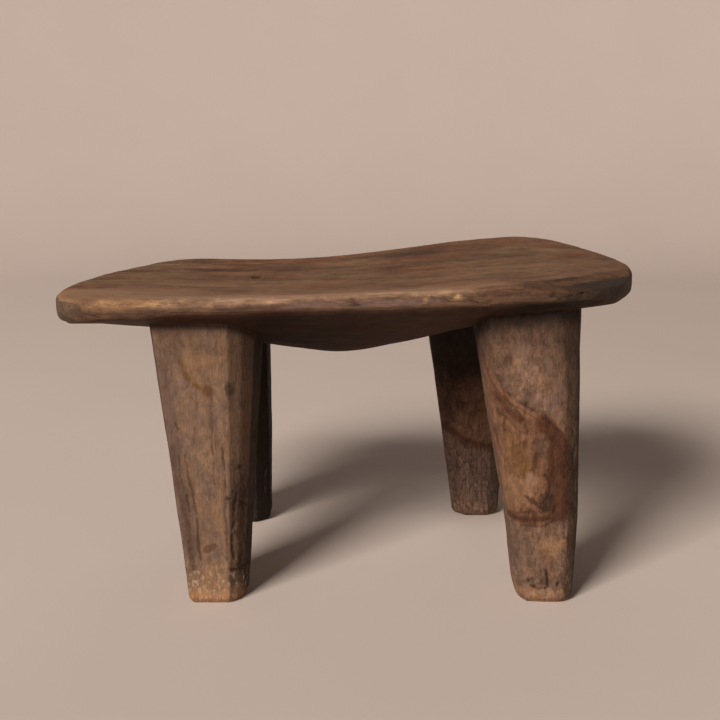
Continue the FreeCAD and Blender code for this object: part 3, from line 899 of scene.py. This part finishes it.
# Grain over the plain wood: the noise, where it starts and is full, its strength
# and its colour.
SEAT_GRAIN = (
    ("streaks", 0.51, 0.64, 0.7, (0.255, 0.138, 0.074)),
    ("streaks", 0.48, 0.36, 0.7, (0.074, 0.032, 0.018)),
    ("patch", 0.53, 0.66, 0.55, (0.235, 0.128, 0.07)),
    ("patch", 0.46, 0.34, 0.55, (0.08, 0.035, 0.02)),
    ("lines", 0.56, 0.68, 0.4, (0.052, 0.023, 0.013)),
    ("lines", 0.43, 0.32, 0.3, (0.265, 0.145, 0.078)),
)
SEAT_TINTS = (
    ("tint", 0.52, 0.62, 0.9, "olive"),
    ("tint", 0.48, 0.38, 0.9, "ruddy"),
)
# Coats laid over the grain, in order: the mask, what tears its edge if anything
# does (the noise, how much, and where it fades in), the strength and the colour.
SEAT_COATS = (
    ("near_edge", ("patch", 0.8, 0.1, 1.0), 0.75, (0.325, 0.178, 0.098)),
    ("red", None, 0.6, (0.135, 0.046, 0.022)),
    ("pale", ("wisps", 0.9, 0.2, 0.95), 0.6, (0.27, 0.152, 0.085)),
    ("corner", ("wisps", 0.6, 0.2, 0.9), 0.9, "corner_wood"),
    ("streak", ("wisps", 0.9, 0.3, 0.9), 0.85, (0.044, 0.018, 0.009)),
    ("rim", ("blotch", 0.3, 0.1, 0.9), 0.8, "rim_wood"),
    ("end", ("blotch", 0.4, 0.1, 0.9), 0.8, (0.105, 0.07, 0.05)),
    # The right end and the sloping corner facet: partly darker wood, partly painted shade.
    ("dark_end", ("blotch", 0.9, 0.15, 0.9), 0.92, (0.044, 0.03, 0.022)),
    ("dark_slope", ("blotch", 0.9, 0.15, 0.9), 0.92, (0.027, 0.018, 0.013)),
    ("lip", ("patch", 1.1, 0.1, 0.95), 0.85, "lip_wood"),
    ("amber", ("wisps", 1.2, 0.1, 1.0), 0.75, (0.3, 0.155, 0.073)),
)
RUBBED_STRENGTH = 0.9
RUBBED_COLOUR = (0.41, 0.252, 0.165)
SEAT_TOP_COATS = (
    ("rough", ("blotch", 1.3, 0.35, 0.95), 0.6, (0.08, 0.036, 0.019)),
    ("worn", ("blotch", 0.8, 0.3, 1.0), 0.45, (0.255, 0.145, 0.082)),
    ("mauve", ("wisps", 0.8, 0.1, 0.9), 0.7, (0.172, 0.106, 0.088)),
    ("bright", ("mottle", 1.6, 0.05, 1.2), 0.85, (0.46, 0.275, 0.14)),
    ("dirt", ("wisps", 1.0, 0.2, 0.9), 0.6, (0.085, 0.045, 0.03)),
    ("low_rim", ("blotch", 0.5, 0.1, 0.9), 0.8, (0.098, 0.074, 0.054)),
    # The underside is darker partly as unrubbed wood and partly as painted shade; the gap is
    # painted shadow.
    ("under", None, 0.9, (0.048, 0.021, 0.012)),
    ("gap", None, 0.9, (0.022, 0.014, 0.009)),
    # Painted shadow, the darkest.
    ("deep_shade", None, 0.75, (0.012, 0.006, 0.004)),
)
SPLIT_COLOUR = (0.014, 0.006, 0.004)


def seat_material():
    """Dark, hand-rubbed wood with its grain along the seat."""
    paint = Paint("seat_wood", noises=SEAT_NOISES)
    paint.known = {name: paint.wood(*settings) for name, settings in SEAT_WOODS.items()}
    colour = paint.lay_grain(paint.known["plain_wood"], SEAT_GRAIN)
    paint.known["olive"] = paint.multiplied(colour, (0.96, 1.1, 1.02))
    paint.known["ruddy"] = paint.multiplied(colour, (1.06, 0.88, 0.82))
    colour = paint.lay_grain(colour, SEAT_TINTS)
    colour = paint.lay_coats(colour, SEAT_COATS)
    rubbed = paint.times(paint.shares["pale"], paint.shares["lip"])
    colour = paint.layer(colour, rubbed, RUBBED_STRENGTH, RUBBED_COLOUR)
    colour = paint.lay_coats(colour, SEAT_TOP_COATS)
    colour = paint.shaded(colour, "fibre", 0.3, 0.7, 0.86, 1.12)
    colour = paint.shaded(colour, "mottle", 0.36, 0.64, 0.84, 1.18)
    colour = paint.layer(colour, paint.mask("split"), 1.0, SPLIT_COLOUR)

    roughness = paint.between(paint.noises["streaks"], 0.3, 0.7, 0.62, 0.76)
    height = paint.join("ADD", paint.noises["fibre"], paint.times(paint.noises["lines"], 2.0))
    height = paint.join("ADD", height, paint.times(paint.noises["blotch"], 1.5))
    return paint.finish(colour, roughness, height, relief=0.3, gloss=0.15)


# Each leg's two woods and its heart, and how strong some coats are on it, all in
# the order of LEG_NAMES.
LEG_COLOURS = (
    ((0.182, 0.113, 0.08), (0.215, 0.128, 0.077), (0.1, 0.05, 0.03)),
    ((0.16, 0.094, 0.064), (0.192, 0.106, 0.062), (0.2, 0.094, 0.048)),
    # The back legs' woods are darker: partly their own colour, partly painted shade.
    ((0.118, 0.072, 0.056), (0.136, 0.08, 0.056), (0.1, 0.05, 0.03)),
    ((0.118, 0.072, 0.056), (0.136, 0.08, 0.056), (0.15, 0.076, 0.044)),
)
LEG_STRENGTHS = {
    "foot": (0.9, 0.3, 0.0, 0.15),
    "flecks": (1.0, 0.3, 0.0, 0.1),
    "blotches": (0.45, 0.65, 0.5, 0.5),
    "mottle": (0.15, 0.28, 0.2, 0.26),
    # Painted shade below the seat.
    "under_seat_shade": (0.35, 0.85, 0.8, 0.85),
    # Painted shade on the sides that face left and right.
    "left_side_shade": (0.6, 0.15, 0.5, 0.2),
    "right_side_shade": (0.4, 0.75, 0.7, 0.6),
}
LEG_NOISES = {
    "fibre": ((1.0, 1.0, 9), 3),
    "lines": ((2.8, 2.8, 40), 4, 0.62, 0.8),
    "patches": ((14, 14, 24), 5, 0.62, 0.8),
    "blotch": ((6, 6, 8), 7, 0.7, 0.6),
    "speck": ((1.4, 1.4, 2.2), 2, 0.6),
    "fleck": ((2.2, 2.2, 4.0), 2, 0.6),
    "swirl": ((8, 8, 14), 5, 0.66, 0.5),
    "hue": ((9, 9, 15), 5, 0.66, 0.5),
    "mottle": ((3.6, 3.6, 6), 6, 0.75, 0.5),
}
LEG_GRAIN = (
    ("blotch", 0.51, 0.62, "blotches", "light_wood"),
    ("blotch", 0.48, 0.38, "blotches", "dark_wood"),
    ("lines", 0.55, 0.68, 0.3, "dark_wood"),
    ("hue", 0.53, 0.62, 0.5, (0.15, 0.094, 0.076)),
    ("hue", 0.46, 0.38, 0.5, (0.262, 0.142, 0.076)),
)
LEG_COATS = (
    ("heart", ("blotch", 0.3, 0.3, 0.6), 0.85, "heart_wood"),
    ("grey", ("blotch", 0.7, 0.1, 0.95), 0.65, (0.118, 0.072, 0.054)),
    ("tan", ("blotch", 1.0, 0.2, 0.9), 0.6, (0.3, 0.164, 0.084)),
    ("gold", ("blotch", 1.3, 0.2, 0.9), 0.75, (0.165, 0.082, 0.032)),
    ("pale", ("blotch", 1.3, 0.2, 0.9), 0.6, (0.31, 0.186, 0.126)),
    ("foot", ("blotch", 0.9, 0.35, 1.0), "foot", (0.39, 0.205, 0.102)),
    ("red", ("swirl", 1.5, 0.1, 1.0), 0.9, (0.072, 0.026, 0.013)),
    ("ochre", ("blotch", 1.2, 0.2, 1.0), 0.5, (0.3, 0.158, 0.066)),
    ("stain", ("mottle", 2.4, 0.15, 1.1), 0.8, (0.11, 0.048, 0.014)),
    ("oval", ("blotch", 0.25, 0.45, 0.75), 0.75, (0.11, 0.052, 0.034)),
    ("streak", ("blotch", 0.9, 0.25, 0.9), 0.75, (0.078, 0.04, 0.024)),
    ("dirt", ("blotch", 1.4, 0.3, 0.9), 0.7, (0.058, 0.031, 0.019)),
    ("edge", None, 0.75, (0.052, 0.018, 0.01)),
    ("worn", ("blotch", 1.0, 0.4, 1.0), 0.3, "light_wood"),
    # Painted shade on the sides that face left and right.
    ("left_side_shade", ("blotch", 0.7, 0.1, 0.9), "left_side_shade", (0.07, 0.046, 0.036)),
    ("right_side_shade", ("blotch", 0.8, 0.1, 0.9), "right_side_shade", (0.05, 0.033, 0.023)),
    # Painted shade below the seat.
    ("under_seat_shade", None, "under_seat_shade", (0.05, 0.026, 0.018)),
    ("char", ("blotch", 1.0, 0.2, 0.9), 0.85, (0.046, 0.023, 0.012)),
)
RING_COLOUR = (0.07, 0.022, 0.011)
# The colour of the darkest painted shade.
DEEP_SHADE_COLOUR = (0.012, 0.007, 0.005)
FLECK_COLOUR = (0.44, 0.325, 0.225)
FLECK_STRENGTH = 0.75
CRACK_COLOUR = (0.044, 0.022, 0.014)


def heart_wood(paint, heart):
    """The heart: swirls of three tones, with growth rings near its outline."""
    swirl = paint.noises["swirl"]
    dark = paint.multiplied(heart, (0.42, 0.36, 0.34))
    light = paint.multiplied(heart, (1.35, 1.55, 1.75))
    colour = paint.mix(paint.between(swirl, 0.36, 0.52), dark, heart)
    colour = paint.layer(colour, paint.between(swirl, 0.54, 0.68), 0.8, light)
    phase = paint.join("ADD", paint.times(paint.mask("rings"), 75), paint.times(swirl, 5))
    rings = paint.between(paint.join("SINE", phase, 0.0), 0.55, 1.0)
    near_outline = paint.between(paint.mask("rings"), 0.2, 0.03)
    return paint.layer(colour, paint.times(rings, near_outline), 0.6, RING_COLOUR)


def leg_cracks(paint):
    """The splits of the mesh, and fine crackle where its mask is."""
    cracks = paint.cracks((3.4, 3.4, 11), 0.075)
    cracks = paint.times(cracks, paint.between(paint.noises["blotch"], 0.42, 0.54))
    cracks = paint.times(cracks, paint.torn("crackle", "blotch", 0.6, 0.25, 0.7))
    return paint.join("MAXIMUM", cracks, paint.mask("split"))


def leg_material(number, name):
    """Dry, weathered wood with its grain up the leg."""
    paint = Paint(f"{name}_wood", NOISE_STEP * number, LEG_NOISES)
    first, second, heart = LEG_COLOURS[number]
    known = {coat: strengths[number] for coat, strengths in LEG_STRENGTHS.items()}
    colour = paint.wood("patches", 0.4, 0.6, first, second)
    known["light_wood"] = paint.multiplied(colour, (1.45, 1.48, 1.5))
    known["dark_wood"] = paint.multiplied(colour, (0.52, 0.46, 0.42))
    known["heart_wood"] = heart_wood(paint, heart)
    paint.known = known
    colour = paint.lay_grain(colour, LEG_GRAIN)
    colour = paint.lay_coats(colour, LEG_COATS)
    # Painted shade: the darkest marks, and the shadow just below the seat.
    deep_shade = paint.torn("deep_shade", "blotch", 0.6, 0.2, 0.8)
    deep_shade = paint.join("MAXIMUM", deep_shade, paint.times(paint.mask("joint_shadow"), 0.85))
    colour = paint.layer(colour, deep_shade, 0.9, DEEP_SHADE_COLOUR)

    flecks = paint.times(paint.between(paint.noises["fleck"], 0.52, 0.66), paint.mask("flecks"))
    colour = paint.layer(colour, flecks, known["flecks"] * FLECK_STRENGTH, FLECK_COLOUR)
    specks = paint.between(paint.noises["speck"], 0.38, 0.3)
    colour = paint.layer(colour, specks, 0.4, "dark_wood")
    colour = paint.shaded(colour, "fibre", 0.3, 0.7, 0.92, 1.07)
    mottle = known["mottle"]
    colour = paint.shaded(colour, "mottle", 0.36, 0.64, 1 - mottle, 1 + mottle)
    cracks = leg_cracks(paint)
    colour = paint.layer(colour, cracks, 0.82, CRACK_COLOUR)

    roughness = paint.between(paint.noises["patches"], 0.3, 0.7, 0.72, 0.86)
    height = paint.join("ADD", paint.noises["fibre"], paint.times(paint.noises["blotch"], 2.4))
    height = paint.join("ADD", height, paint.noises["lines"])
    height = paint.join("SUBTRACT", height, paint.times(cracks, 1.6))
    return paint.finish(colour, roughness, height, relief=0.3, gloss=0.2)


# ---- floor, lights, camera


def make_floor():
    """A plain pale floor that curves up far behind the object on every side."""
    flat_radius, cove_radius, wall_height, sides, steps = 1.5, 0.9, 1.2, 96, 14
    profile = [(0.0, 0.0), (flat_radius, 0.0)]
    for step in range(1, steps + 1):
        turn = math.pi / 2 * step / steps
        out = flat_radius + cove_radius * math.sin(turn)
        profile.append((out, cove_radius * (1 - math.cos(turn))))
    profile.append((flat_radius + cove_radius, wall_height))
    points = [(0.0, 0.0, 0.0)]
    for radius, height in profile[1:]:
        for side in range(sides):
            turn = 2 * math.pi * side / sides
            points.append((radius * math.cos(turn), radius * math.sin(turn), height))
    faces = [(0, 1 + side, 1 + (side + 1) % sides) for side in range(sides)]
    for ring in range(len(profile) - 2):
        first, second = 1 + ring * sides, 1 + (ring + 1) * sides
        for side in range(sides):
            after = (side + 1) % sides
            faces.append((first + side, second + side, second + after, first + after))
    mesh = bpy.data.meshes.new("floor")
    mesh.from_pydata(points, [], faces)
    mesh.shade_smooth()
    floor = bpy.data.objects.new("floor", mesh)
    bpy.context.scene.collection.objects.link(floor)
    paint = Paint("pale_floor")
    mottle = paint.noise((260, 260, 260), 3)
    colour = paint.mix(mottle, (0.64, 0.545, 0.49), (0.68, 0.585, 0.53))
    floor.data.materials.append(paint.finish(colour, 0.9, mottle, relief=0.1, gloss=0.1))


def aim(thing, place, target):
    """Puts a light or camera at place, looking at target."""
    thing.location = place
    thing.rotation_euler = (Vector(target) - Vector(place)).to_track_quat("-Z", "Y").to_euler()


def add_light(name, azimuth, elevation, distance, size, power, colour):
    """A soft square light on the object; azimuth goes from the front towards the left."""
    middle_height = 0.1
    data = bpy.data.lights.new(name, "AREA")
    data.shape = "SQUARE"
    data.size = size
    data.energy = power
    data.color = colour
    light = bpy.data.objects.new(name, data)
    bpy.context.scene.collection.objects.link(light)
    turn, rise = math.radians(azimuth), math.radians(elevation)
    place = (
        -math.sin(turn) * math.cos(rise) * distance,
        -math.cos(turn) * math.cos(rise) * distance,
        middle_height + math.sin(rise) * distance,
    )
    aim(light, place, (0, 0, middle_height))
    light.visible_camera = False


# Each light's name, azimuth, elevation, distance, size, power and colour.
LIGHTS = (
    ("key", 34, 35, 5.0, 1.7, 285, (1.0, 0.93, 0.86)),
    ("back_fill", 180, 45, 3.0, 1.5, 7, (1.0, 0.94, 0.9)),
)


def make_lights():
    """A key light from the front left, a weak fill, and a faint glow all round."""
    for light in LIGHTS:
        add_light(*light)
    world = bpy.data.worlds.new("studio")
    world.use_nodes = True
    background = world.node_tree.nodes["Background"]
    background.inputs["Color"].default_value = (1.0, 0.93, 0.87, 1)
    background.inputs["Strength"].default_value = 0.025
    bpy.context.scene.world = world


CAMERA_PLACE = (0.0065, -0.7535, 0.2795)
CAMERA_PITCH = 11.41  # degrees below level
CAMERA_LENS = 57
CAMERA_SENSOR = 36


def make_camera():
    """The camera, in front of the object and a little above it."""
    data = bpy.data.cameras.new("camera")
    data.lens = CAMERA_LENS
    data.sensor_width = CAMERA_SENSOR
    camera = bpy.data.objects.new("camera", data)
    bpy.context.scene.collection.objects.link(camera)
    camera.location = CAMERA_PLACE
    camera.rotation_euler = (math.radians(90 - CAMERA_PITCH), 0, 0)
    bpy.context.scene.camera = camera


# ---- everything

make_floor()
make_lights()
make_camera()
bpy.context.scene.view_settings.view_transform = "Standard"

carve_seat().finish(seat_material())
underside_tree = underside()
for number, leg_name in enumerate(LEG_NAMES):
    leg = carve_leg(number, leg_name, underside_tree)
    leg.finish(leg_material(number, leg_name))
